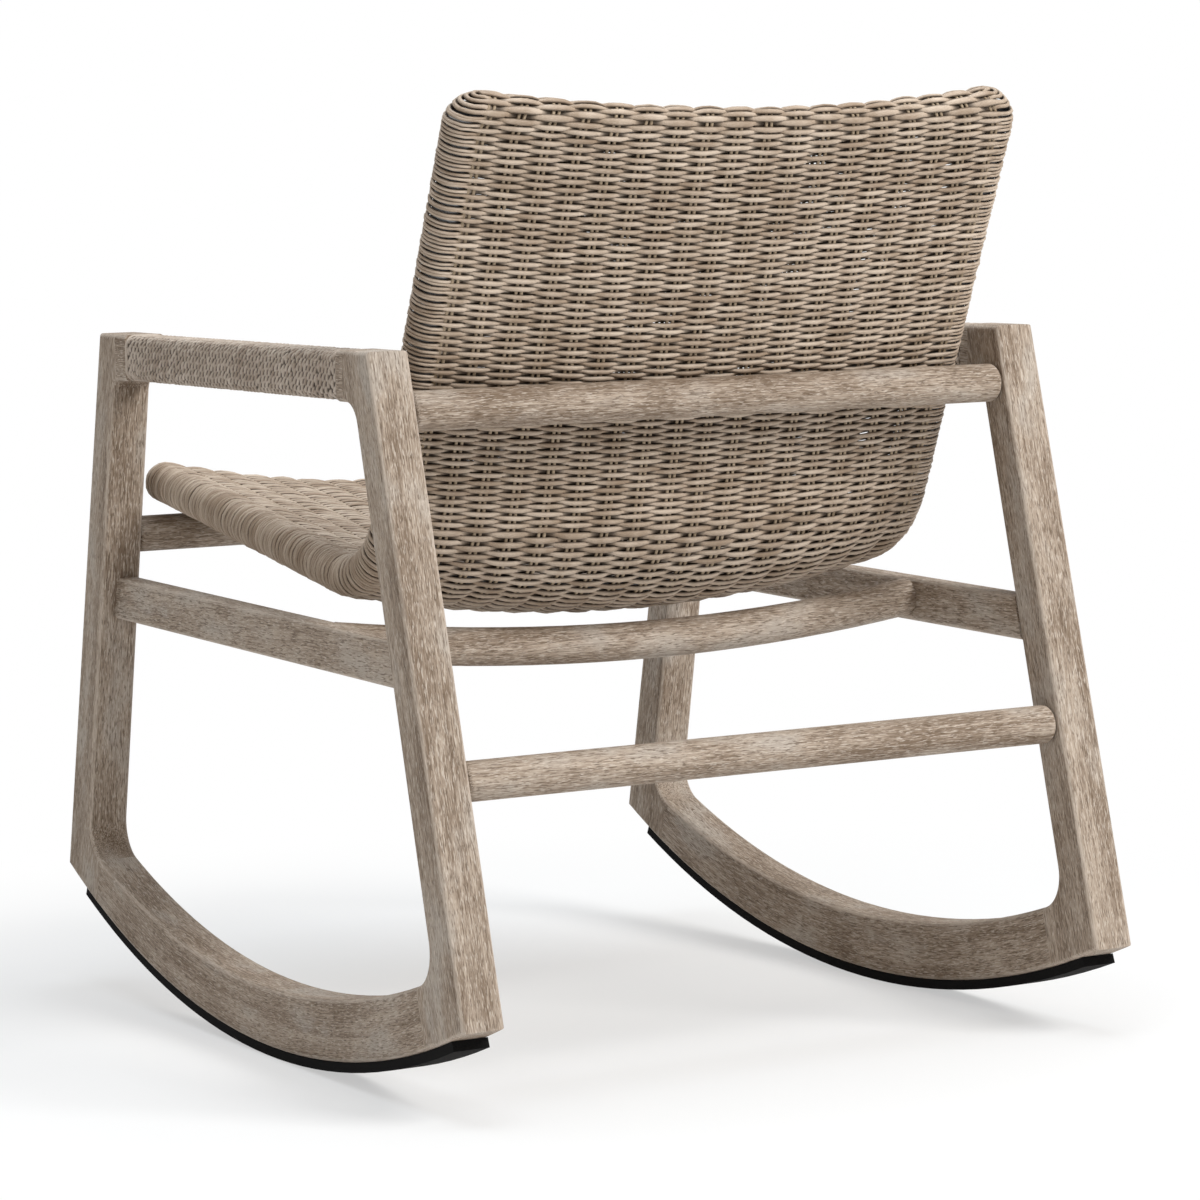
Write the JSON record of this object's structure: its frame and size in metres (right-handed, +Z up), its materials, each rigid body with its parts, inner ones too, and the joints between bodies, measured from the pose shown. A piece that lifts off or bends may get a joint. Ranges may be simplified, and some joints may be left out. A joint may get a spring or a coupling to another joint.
{
  "type": "rocking chair",
  "caption": "Wooden rocking chair with curved runners, wrapped arms and a one-piece woven seat and back shell.",
  "frame": {"origin": "centre of the bounding box on the floor, with the chair at rest, its weight balanced on the runners", "axes": "+Z up, the chair faces -Y, +X is the sitter's left"},
  "size_m": [0.6266, 0.7718, 0.785],
  "materials": {
    "wood": "weathered satin",
    "wicker": "woven matte",
    "pad": "matte",
    "dowel": "matte",
    "frame_tube": "satin",
    "screw": "satin"
  },
  "bodies": {
    "root": {"front_leg_left": "wood", "front_leg_right": "wood", "rear_leg_left": "wood", "rear_leg_right": "wood", "arm_rail_left": "wood", "arm_rail_right": "wood", "arm_wrap_left": "wicker", "arm_wrap_right": "wicker", "seat_rail_left": "wood", "seat_rail_right": "wood", "runner_left": "wood", "runner_right": "wood", "runner_pad_left": "pad", "runner_pad_right": "pad", "pad_screws_left": "screw", "pad_screws_right": "screw", "runner_dowels_left": "dowel", "runner_dowels_right": "dowel", "arm_dowels_left": "dowel", "arm_dowels_right": "dowel", "rail_dowels_left": "dowel", "rail_dowels_right": "dowel", "back_crossbar": "wood", "seat_crossbar": "wood", "lower_stretcher": "wood", "front_crossbar": "wood", "shell_tube_left": "frame_tube", "shell_tube_right": "frame_tube", "shell_cross_rods": "frame_tube", "shell_pins": "screw", "seat_weave": "wicker", "back_weave": "wicker"}
  },
  "joints": []
}
